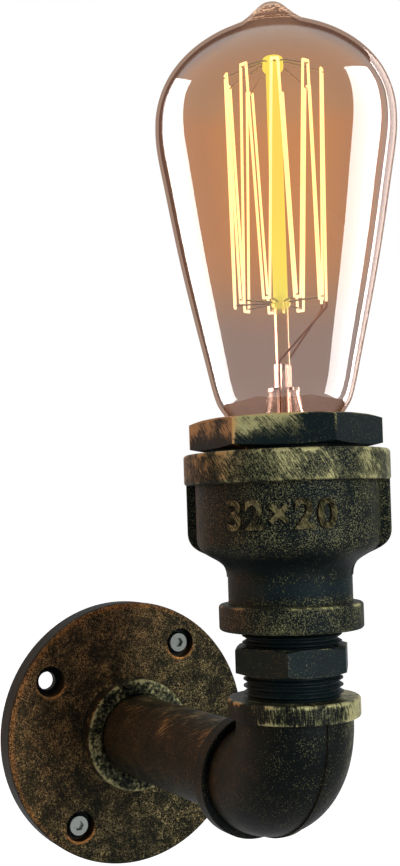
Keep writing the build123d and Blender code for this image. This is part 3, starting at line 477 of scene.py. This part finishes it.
class PIPE_OT_stage(bpy.types.Operator):
    """Sets up the camera, lamps, floor and background"""

    bl_idname = "pipe_light.stage"
    bl_label = "Stage"

    def execute(self, context):
        scene = context.scene
        sizes = scene.pipe_stage
        data = bpy.data.cameras.new("camera")
        data.sensor_fit = "AUTO"
        data.sensor_width = 36
        data.lens = sizes.focal / PHOTO_HEIGHT * data.sensor_width
        data.shift_x = (PHOTO_WIDTH / 2 - sizes.centre_x) / PHOTO_HEIGHT
        data.shift_y = (sizes.centre_y - PHOTO_HEIGHT / 2) / PHOTO_HEIGHT
        data.clip_start, data.clip_end = 0.01, 50
        camera = bpy.data.objects.new("camera", data)
        camera.matrix_world = aimed_camera(sizes)
        scene.collection.objects.link(camera)
        scene.camera = camera
        self.lamps(sizes)
        self.floor(scene, sizes)
        self.background(scene, sizes)
        scene.view_settings.view_transform = "Standard"
        return {"FINISHED"}

    def lamps(self, sizes):
        eye = Vector((sizes.camera_x, sizes.camera_y, sizes.camera_z))
        middle = LAMP_AXIS + Vector((0, 0, 0.1))
        for name, turn, radiance in (("left_softbox", 100, 2.2), ("right_softbox", -80, 1.4)):
            place = around_lamp(eye, turn, SOFTBOX_DISTANCE, SOFTBOX_Z)
            box = softbox(name, place, middle, SOFTBOX_WIDTH, SOFTBOX_LENGTH, radiance)
            box.visible_glossy = False
        softbox("top_softbox", (-0.35, -0.75, 1.3), middle, 1.0, 1.0, 1.2).visible_glossy = False
        place = around_lamp(eye, -44, STRIP_DISTANCE, STRIP_Z)
        cool = (0.84, 0.97, 1.0)
        strip = softbox("cool_strip", place, LAMP_AXIS, STRIP_WIDTH, STRIP_LENGTH, 62.0, cool)
        light_only(strip, IRON_NODES)
        aim = middle + Vector((0, 0, 0.10))
        for name, (turn, width, radiance, warmth) in CARDS.items():
            place = around_lamp(eye, turn, CARD_DISTANCE, CARD_Z)
            card = softbox(name, place, aim, width, CARD_LENGTH, radiance, warmth)
            card.visible_diffuse = False
            light_only(card, MIRRORING_NODES)

    def floor(self, scene, sizes):
        bm = bmesh.new()
        half = sizes.floor_size / 2
        bmesh.ops.create_grid(bm, x_segments=8, y_segments=8, size=half)
        bmesh.ops.translate(bm, verts=bm.verts, vec=(0, 0, sizes.floor_z))
        mesh = bpy.data.meshes.new("floor")
        bm.to_mesh(mesh)
        bm.free()
        floor = bpy.data.objects.new("floor", mesh)
        scene.collection.objects.link(floor)
        f = Finish("pale_floor")
        plain = f.node("ShaderNodeBsdfDiffuse", None, {"Color": (*sizes.floor_colour, 1.0)})
        lifted = f.node("ShaderNodeAddShader", None, (plain, f.glowing((1, 1, 1), sizes.floor_lift)))
        dress(floor, f.shown(f.blended(f.seen_rays(), plain, lifted)))

    def background(self, scene, sizes):
        scene.world = bpy.data.worlds.new("white_room")
        f = Finish("white_room", scene.world)
        even, white = (
            f.node("ShaderNodeBackground", None, {"Color": (1, 1, 1, 1), "Strength": strength})
            for strength in (sizes.ambient, 1.0)
        )
        f.shown(f.blended(f.seen_rays(), even, white), "ShaderNodeOutputWorld")


# ------------------------------------------------------------ iron pieces
class PIPE_OT_flange(bpy.types.Operator):
    """Finishes the wall flange in hammered, brushed black iron"""

    bl_idname = "pipe_light.flange"
    bl_label = "Wall flange"

    def execute(self, context):
        iron = Iron("flange_iron", along_arm=True, stroke=None)
        f = iron.finish
        curls = f.grain(iron.place, 0.62, detail=1.0, roughness=0.5, twist=0.9)
        worm = f.step(abs(curls - 0.5), 0.12, 0.0)
        plate = f.rise(iron.radius, PLATE_R)
        face = plate * f.rise(iron.height, PLATE_FACE, 0.3)
        hub = (1 - plate) * (0.50 + iron.edge(HUB_R, HUB_FACE - 0.5, 1.2) * 0.22)
        # Painted warm light: the upper left of the face, and of the rim, gets more gold and copper, as if lit
        # from there.
        lit_upper_left = f.step(iron.z * 0.8 - iron.x, -25.0, 45.0)
        rim = iron.edge(PLATE_RIM_R, PLATE_RIM_FACE, 1.6) * lit_upper_left
        # Painted warm light: gold and copper crescents on the lower side of each hole's rim, where a light
        # from the upper left would fall.
        lit_hole_crescents = 0.0
        for turn in FLANGE_HOLES:
            place = Vector((math.cos(turn), math.sin(turn))) * HOLE_CIRCLE
            dx, dz = iron.x - place.x, iron.z - place.y
            away = (dx * dx + dz * dz) ** 0.5
            lit_hole_crescents = lit_hole_crescents + f.near(away, HOLE_RIM_R, 1.1) * f.step(dz, 1.0, -3.5)
        patches = f.step(iron.blotch, 0.40, 0.62) * 0.14 - 0.05
        cover = face * (patches + worm * 0.36 + lit_upper_left * 0.06) + hub + rim * 0.6 + lit_hole_crescents * face
        copper = (face * 0.22 + lit_upper_left * face * 0.40 + rim + lit_hole_crescents).least(1.0)
        hammered = {"worm": worm * face, "face": face}
        dress(NODES["wall_flange"], iron.paint(cover, face * 0.12, 0.15, copper, relief=0.24, **hammered))
        return {"FINISHED"}


class PIPE_OT_pipe(bpy.types.Operator):
    """Finishes the pipe in dark red-brown scale"""

    bl_idname = "pipe_light.pipe"
    bl_label = "Arm pipe"

    def execute(self, context):
        iron = Iron("pipe_scale", along_arm=True, slant=0.9, stroke=(0.8, 5.0), reach=PIPE_R)
        f = iron.finish
        # Painted light from above: the top of the pipe gets more gold and copper than its underside.
        lit_top = f.step(iron.z, 2.0, 13.0)
        near_elbow = f.step(-iron.y, 68.0, 84.0)
        cover = 0.26 + lit_top * 0.18 + near_elbow * 0.20 * lit_top
        copper = (lit_top * 0.34 + near_elbow * 0.35).least(1.0)
        dress(NODES["arm_pipe"], iron.paint(cover, 0.35, 0.1, copper=copper, relief=0.24, rough=0.38))
        return {"FINISHED"}


class PIPE_OT_elbow(bpy.types.Operator):
    """Finishes the elbow in black iron with brushed collars"""

    bl_idname = "pipe_light.elbow"
    bl_label = "Elbow"

    def execute(self, context):
        iron = Iron("elbow_iron", slant=0.05, stroke=(0.38, 3.6), reach=ELBOW_R)
        f = iron.finish
        collar = f.rise(iron.z, COLLAR_LOW_Z)
        wall_collar = f.rise(iron.y, WALL_COLLAR_Y)
        rims = iron.edge(COLLAR_R, COLLAR_TOP_Z, 1.1) + iron.edge(COLLAR_R, COLLAR_LIP_Z, 0.9)
        rims = rims * collar * iron.worn()
        # Painted highlight: a gold streak on the elbow's right side, in place of a lamp's gleam there.
        right = f.step(iron.x, 2.0, 9.0) * f.step(iron.z, -12.0, 4.0)
        cover = 0.02 + collar * 0.36 + wall_collar * 0.12 + rims * 0.34 + right * 0.36
        dress(NODES["elbow"], iron.paint(cover, 0.16, 0.15, relief=0.24, rough=0.40))
        return {"FINISHED"}


class PIPE_OT_nipple(bpy.types.Operator):
    """Finishes the hex nipple in black iron"""

    bl_idname = "pipe_light.nipple"
    bl_label = "Hex nipple"

    def execute(self, context):
        iron = Iron("nipple_iron", stroke=(0.4, 1.0), reach=15.0)
        f = iron.finish
        hexed = f.rise(iron.radius, NIPPLE_HEX_R, 0.25)
        ends = f.near(iron.z, NIPPLE_HEX_TOP_Z, 0.8) + f.near(iron.z, NIPPLE_HEX_LOW_Z, 0.8)
        edges = hexed * ends.least(1.0)
        cover = 0.06 + edges * 0.36
        dress(NODES["hex_nipple"], iron.paint(cover, hexed * 0.15, 0.8, relief=0.12, rough=0.38))
        return {"FINISHED"}


class PIPE_OT_reducer(bpy.types.Operator):
    """Finishes the bell reducer in brushed cast iron"""

    bl_idname = "pipe_light.reducer"
    bl_label = "Bell reducer"

    def execute(self, context):
        iron = Iron("reducer_iron", slant=0.55, stroke=(0.34, 2.0))
        f = iron.finish
        top_band = f.rise(iron.z, TOP_BAND_Z)
        low_band = 1 - f.rise(iron.z, LOW_BAND_Z)
        shoulder = f.near(iron.z, SHOULDER_Z, 5.0)
        # Painted shade: less gold and fewer light specks under the shoulder, to darken it.
        shade_under_shoulder = f.near(iron.z, UNDER_SHOULDER_Z, 5.5)
        neck = f.near(iron.z, NECK_Z, 4.0)
        ribs = f.rise(iron.radius, RIB_R, 0.5) * (1 - top_band)
        edges = iron.edge(TOP_BAND_R, TOP_BAND_RIM_Z, 1.1) + iron.edge(LOW_BAND_R, LOW_BAND_RIM_Z, 0.9)
        edges = (edges + iron.edge(TOP_BAND_R, TOP_BAND_LIP_Z, 0.8) * 0.5) * iron.worn()
        cover = 0.18 + top_band * 0.34 + low_band * 0.14 + shoulder * 0.10 + edges * 0.30 + ribs * 0.1
        cover = cover - neck * 0.10 - shade_under_shoulder * 0.14
        slate = (0.35 + neck * 0.6).least(1.0)
        dust = 0.46 + top_band * 0.1 - neck * 0.4 - shade_under_shoulder * 0.5
        dress(NODES["reducer"], iron.paint(cover, dust, slate, relief=0.36))
        dress(self.digits(), self.digits_finish())
        return {"FINISHED"}

    def digits(self):
        """Plain raised digits, cast on the reducer's side."""
        curve = bpy.data.curves.new("digits", "FONT")
        curve.body = DIGITS
        curve.size = DIGITS_HEIGHT * MM
        curve.align_x, curve.align_y = "CENTER", "CENTER"
        curve.space_character = DIGITS_SPACING
        curve.resolution_u = 4
        curve.offset = DIGITS_SWELL * MM
        text = bpy.data.objects.new("digits", curve)
        bpy.context.scene.collection.objects.link(text)
        bpy.context.view_layer.update()
        mesh = bpy.data.meshes.new_from_object(text)
        bpy.data.objects.remove(text)
        bm = bmesh.new()
        bm.from_mesh(mesh)
        bpy.data.meshes.remove(mesh)
        bmesh.ops.remove_doubles(bm, verts=bm.verts, dist=1e-6)
        long_edges = [edge for edge in bm.edges if edge.calc_length() > DIGITS_LONGEST_EDGE * MM]
        bmesh.ops.subdivide_edges(bm, edges=long_edges, cuts=2)
        bmesh.ops.triangulate(bm, faces=bm.faces)
        wall = bmesh.ops.extrude_face_region(bm, geom=bm.faces[:])
        raised = {v for v in wall["geom"] if isinstance(v, bmesh.types.BMVert)}
        for vert in bm.verts:
            radius = (DIGITS_FACE if vert in raised else DIGITS_ROOT) * MM
            turn = DIGITS_TURN + vert.co.x / (DIGITS_FACE * MM)
            height = DIGITS_Z * MM + vert.co.y
            vert.co = LAMP_AXIS + Vector((math.cos(turn) * radius, math.sin(turn) * radius, height))
        bmesh.ops.recalc_face_normals(bm, faces=bm.faces)
        return new_piece("cast_digits", bm, "arm", smooth=False)

    def digits_finish(self):
        iron = Iron("digit_iron", slant=0.55, stroke=(0.34, 2.0))
        raised = iron.finish.rise(iron.radius, DIGITS_FACE - 0.4, 0.2)
        return iron.paint(raised * 0.62, 0.3, 0.3, relief=0.10)


class PIPE_OT_bushing(bpy.types.Operator):
    """Finishes the hex bushing with diagonal brush strokes"""

    bl_idname = "pipe_light.bushing"
    bl_label = "Hex bushing"

    def execute(self, context):
        iron = Iron("bushing_iron", slant=1.0, stroke=(0.30, 3.2))
        f = iron.finish
        top_edge = f.near(iron.z, BUSHING_TOP_Z, 0.8)
        upper = f.step(iron.z, 88.5, 97.0)
        degrees = iron.turn * (180 / math.pi)
        left_of_front = f.step(degrees, -98.0, -134.0).most(degrees > 0)
        from_corner = abs((degrees - BUSHING_CORNER + 30).wrap(60) - 30) * (math.radians(1) * BUSHING_R)
        corners = 1 - f.step(from_corner, 0.15, 0.75)
        cover = 0.08 + upper * left_of_front * 0.66 + top_edge * 0.5 + corners * 0.4
        # Painted warm light: the faces turned to the left get copper, as if lit by a warm lamp on that side.
        lit_left_face = f.step(degrees, -150.0, -156.0) + (degrees > 90)
        copper = (top_edge * 0.4 + lit_left_face * 0.8).least(1.0)
        dress(NODES["hex_bushing"], iron.paint(cover, 0.1, 0.75, copper=copper, relief=0.14))
        return {"FINISHED"}


# ------------------------------------------------------------- lamp pieces
def rounded_line(points, steps):
    """Points along a smooth line through the given ones, which are pairs of radius and height."""
    line = []
    flat = [Vector((r, z)) for r, z in points]
    for k in range(len(flat) - 1):
        before = flat[max(k - 1, 0)]
        after = flat[min(k + 2, len(flat) - 1)]
        start, end = flat[k], flat[k + 1]
        run = (end - start).length
        lead = (end - before).normalized() * run / 3
        trail = (after - start).normalized() * run / 3
        line += interpolate_bezier(start, start + lead, end - trail, end, steps)[:-1]
    return line + [flat[-1]]


def spun(bm, line, steps):
    """Spins a line of radius and height, in millimetres, once round the lamp's axis."""
    verts = [bm.verts.new(LAMP_AXIS + Vector((r * MM, 0, z * MM))) for r, z in line]
    edges = [bm.edges.new(pair) for pair in zip(verts, verts[1:])]
    bmesh.ops.spin(
        bm, geom=verts + edges, cent=LAMP_AXIS, axis=(0, 0, 1), angle=2 * math.pi, steps=steps, use_merge=True
    )
    bmesh.ops.remove_doubles(bm, verts=bm.verts, dist=1e-6)
    bmesh.ops.recalc_face_normals(bm, faces=bm.faces)


def new_piece(name, bm, body, smooth=True):
    """Turns a bmesh into a piece that rides on a body."""
    for face in bm.faces:
        face.smooth = smooth
    mesh = bpy.data.meshes.new(name)
    bm.to_mesh(mesh)
    bm.free()
    piece = bpy.data.objects.new(name, mesh)
    bpy.context.scene.collection.objects.link(piece)
    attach(piece, body)
    return piece


# The lamp's glass in millimetres: its outer face as pairs of radius and height, its wall, and the
# heights at which its look changes.
GLASS_LINE = [
    (12.3, 89.5), (12.3, 92.3), (12.3, 95.1), (13.2, 96.6), (15.6, 99.6), (18.0, 103.7), (20.6, 114.4),
    (26.2, 140.0), (30.4, 163.5), (31.7, 171.5), (32.0, 177.0), (31.5, 182.0), (29.9, 186.8), (27.5, 190.8),
    (24.2, 194.4), (20.0, 197.6), (15.2, 200.3), (11.0, 202.6), (7.6, 205.1), (4.9, 207.6), (2.6, 209.6),
    (0.0, 210.2),
]
GLASS_WALL = 0.9
GLASS_STEPS, LINE_STEPS = 112, 6
CROWN_Z = 180.0
MAUVE_TO_AMBER = (120.0, 142.0)
AMBER_TO_SMOKE = (183.0, 192.0)
GLOW_Z, GLOW_REACH, GLOW_SHARE = 160.0, 44.0, 0.10
ROD_GLOW_FROM, ROD_GLOW_SHARE, ROD_GLOW = (126.0, 134.0), 0.92, 1.95
WIRE_GLOW = 3.6
FROST_RINGS = ((206.5, 3.2, 1.0), (201.5, 1.5, 1.0), (199.0, 0.9, 0.8))  # height, reach, strength
FROST_SHARE, FROST_GLOW = 0.75, 1.3


class PIPE_OT_glass(bpy.types.Operator):
    """Blows the lamp's tinted glass"""

    bl_idname = "pipe_light.glass"
    bl_label = "Lamp glass"

    def execute(self, context):
        outer = rounded_line(GLASS_LINE, LINE_STEPS)
        inner = [self.inside(outer, k) for k in range(len(outer))]
        bm = bmesh.new()
        spun(bm, outer + list(reversed(inner)) + [outer[0]], GLASS_STEPS)
        self.mark_outside(bm)
        glass = new_piece("tinted_glass", bm, "lamp")
        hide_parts("bulb_glass")
        for name in CARDS:
            bpy.data.collections[name + "_lights"].objects.link(glass)
        dress(glass, self.tint())
        return {"FINISHED"}

    def inside(self, line, k):
        """The point of the inner face that faces the kth point of the outer one."""
        before, after = line[max(k - 1, 0)], line[min(k + 1, len(line) - 1)]
        along = (after - before).normalized()
        point = line[k] + Vector((-along.y, along.x)) * GLASS_WALL
        if k == len(line) - 1:
            return Vector((0, line[k].y - GLASS_WALL))
        if k == 0:
            return Vector((line[0].x - GLASS_WALL, line[0].y))
        return Vector((max(point.x, 0.2), point.y))

    def mark_outside(self, bm):
        """Marks the faces of the outer wall with 1, because only they mirror the studio.

        Up to the crown that wall faces away from the axis, and over it also upwards.
        """
        outside = bm.faces.layers.float.new("outside")
        for face in bm.faces:
            outwards = face.calc_center_median() - LAMP_AXIS
            outwards.z = 0.4 * max(outwards.z - CROWN_Z * MM, 0)
            face[outside] = float(face.normal.dot(outwards) > 0)

    def tint(self):
        colours = bpy.context.scene.pipe_lamp
        f = Finish("tinted_glass")
        z = f.parts(f.object_place())[2]
        amber, smoke, mauve, rim = (
            f.node("ShaderNodeBsdfTransparent", None, ((*shade, 1.0),))
            for shade in (colours.amber, colours.smoke, colours.mauve, colours.rim)
        )
        clear = f.blended(f.step(z, *MAUVE_TO_AMBER), mauve, amber)
        clear = f.blended(f.step(z, *AMBER_TO_SMOKE), clear, smoke)
        facing = f.node("ShaderNodeLayerWeight", None, {"Blend": 0.5}, output="Facing")
        clear = f.blended(f.step(facing, 0.52, 0.80), clear, rim)
        outside = f.node("ShaderNodeAttribute", {"attribute_name": "outside"}, output="Fac")
        outside = outside * (1 - f.node("ShaderNodeNewGeometry", output="Backfacing"))
        gloss = f.node("ShaderNodeBsdfGlossy", None, {"Color": (1, 1, 1, 1), "Roughness": 0.0})
        mirror = (f.node("ShaderNodeFresnel", None, {"IOR": 1.5}) * 1.5).least(0.4)
        clear = f.blended(mirror * (1 - f.step(facing, 0.60, 0.68) * 0.93) * outside, clear, gloss)
        # Painted glow: the glass round the filament gives off warm light, strongest where it faces the
        # viewer, in place of filament light scattered in it.
        lit = f.near(z, GLOW_Z, GLOW_REACH) * (1 - f.step(facing, 0.04, 0.24)) * GLOW_SHARE
        clear = f.blended(lit, clear, f.glowing(colours.warmth))
        # Painted glow: the crinkled glass of the tip gives off warm light.
        rings = 0.0
        for height, reach, strength in FROST_RINGS:
            rings = (f.near(z, height, reach) * strength).most(rings)
        crinkle = f.grain(f.object_place(), 1.5, detail=1.0, roughness=0.5, twist=1.6)
        glowing_crinkles = f.step(crinkle, 0.46, 0.60) * rings * outside * FROST_SHARE
        return f.shown(f.blended(glowing_crinkles, clear, f.glowing(colours.frost, FROST_GLOW)))


class PIPE_OT_filament(bpy.types.Operator):
    """Lights the filament"""

    bl_idname = "pipe_light.filament"
    bl_label = "Filament"

    def execute(self, context):
        colours = context.scene.pipe_lamp
        f = Finish("glowing_wire")
        patch = f.grain(f.object_place(), 2.0)
        warm = f.mixed(patch, tuple(colours.wire), tuple(colours.hot_wire))
        shader = f.principled((0.5, 0.4, 0.3), 0.4)
        f.tree.links.new(warm.output, shader.output.node.inputs["Emission Color"])
        shader.output.node.inputs["Emission Strength"].default_value = WIRE_GLOW
        dress(NODES["filament"], f.shown(shader))
        return {"FINISHED"}


def clear_glass(name, rgb, roughness, glow=None):
    """Clear glass, which glows between the filament's strands where the colour of a glow is given."""
    f = Finish(name)
    patch = f.grain(f.object_place(), 3.0)
    shader = f.principled(
        rgb, roughness + patch * 0.04, IOR=1.45, Transmission_Weight=1.0, Normal=f.bump(patch, 0.05)
    )
    if glow is not None:
        # Painted glow: from there up, the rod's glass gives off light, in place of filament light caught in
        # it.
        share = f.step(f.parts(f.object_place())[2], *ROD_GLOW_FROM) * ROD_GLOW_SHARE
        shader = f.blended(share, shader, f.glowing(glow, ROD_GLOW))
    return f.shown(shader)


class PIPE_OT_spring(bpy.types.Operator):
    """Makes the contact's spring a merged copy of its own that rides on the arm, in steel"""

    bl_idname = "pipe_light.spring"
    bl_label = "Contact spring"

    def execute(self, context):
        node = NODES["contact_spring"]
        bm = bmesh.new()
        bm.from_mesh(node.data)
        bm.transform(node.matrix_world)
        bmesh.ops.remove_doubles(bm, verts=bm.verts, dist=1e-6)
        coil = new_piece("contact_coil", bm, "arm")
        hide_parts("contact_spring")
        dress(coil, plain_finish("coil_steel", (0.5, 0.5, 0.5), 0.3, metallic=1.0))
        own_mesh(coil)
        return {"FINISHED"}


class PIPE_OT_small_parts(bpy.types.Operator):
    """Finishes the screws, holder, wires and the lamp's inner parts"""

    bl_idname = "pipe_light.small_parts"
    bl_label = "Small parts"

    def execute(self, context):
        zinc = plain_finish("bright_zinc", (0.27, 0.29, 0.275), 0.26, metallic=1.0, size=0.8, wear=0.5)
        brass = plain_finish("yellow_brass", (0.72, 0.52, 0.22), 0.3, metallic=1.0)
        spring = plain_finish("spring_steel", (0.5, 0.5, 0.5), 0.3, metallic=1.0)
        cap = plain_finish("nickel_cap", (0.66, 0.62, 0.55), 0.28, metallic=1.0)
        tin = plain_finish("solder", (0.6, 0.6, 0.58), 0.4, metallic=1.0)
        copper = plain_finish("copper_lead", (0.45, 0.2, 0.1), 0.4, metallic=0.8)
        white = plain_finish("porcelain", (0.75, 0.74, 0.70), 0.25, wear=0.06)
        black = plain_finish("black_glass", (0.02, 0.02, 0.025), 0.15)
        cement = plain_finish("lamp_cement", (0.45, 0.40, 0.34), 0.8, size=0.5)
        brown = plain_finish("brown_insulation", (0.16, 0.07, 0.03), 0.5, size=3.0)
        blue = plain_finish("blue_insulation", (0.03, 0.10, 0.30), 0.5, size=3.0)
        stem = clear_glass("stem_glass", (0.95, 0.92, 0.9), 0.03)
        rod = clear_glass("rod_glass", (1.0, 0.85, 0.6), 0.05, glow=context.scene.pipe_lamp.rod)
        finishes = {
            zinc: ("mounting_bar", "plate_screws", "terminal_screws"),
            brass: (
                "earth_washer", "earth_screw", "screw_shell", "shell_screw",
                "neutral_terminal", "live_terminal", "centre_contact",
            ),
            spring: ("support_hooks",),
            cap: ("bulb_cap",),
            tin: ("bulb_tip", "wire_ferrules"),
            copper: ("lead_in_wires",),
            white: ("holder_body",),
            black: ("bulb_insulator",),
            cement: ("cap_cement",),
            brown: ("live_wire",),
            blue: ("neutral_wire",),
            stem: ("bulb_stem", "exhaust_tube"),
            rod: ("support_rod",),
        }
        for finish, names in finishes.items():
            for name in names:
                dress(NODES[name], finish)
        return {"FINISHED"}


class PIPE_PT_panel(bpy.types.Panel):
    """Lists the steps that dress the wall light"""

    bl_label = "Pipe Light"
    bl_idname = "PIPE_PT_panel"
    bl_space_type = "VIEW_3D"
    bl_region_type = "UI"
    bl_category = "Pipe Light"

    def draw(self, context):
        for operator in OPERATORS:
            self.layout.operator(operator.bl_idname)


OPERATORS = (
    PIPE_OT_stage, PIPE_OT_flange, PIPE_OT_pipe, PIPE_OT_elbow, PIPE_OT_nipple, PIPE_OT_reducer,
    PIPE_OT_bushing, PIPE_OT_glass, PIPE_OT_filament, PIPE_OT_spring, PIPE_OT_small_parts,
)
SETTINGS = {"pipe_stage": StageSizes, "pipe_paint": PaintColours, "pipe_lamp": LampColours}


def register():
    for group in (*SETTINGS.values(), *OPERATORS, PIPE_PT_panel):
        bpy.utils.register_class(group)
    for name, group in SETTINGS.items():
        setattr(bpy.types.Scene, name, bpy.props.PointerProperty(type=group))


def unregister():
    for name in SETTINGS:
        delattr(bpy.types.Scene, name)
    for group in reversed((*SETTINGS.values(), *OPERATORS, PIPE_PT_panel)):
        bpy.utils.unregister_class(group)


def main():
    register()
    for operator in OPERATORS:
        group, step = operator.bl_idname.split(".")
        getattr(getattr(bpy.ops, group), step)()


if __name__ == "__main__":
    main()
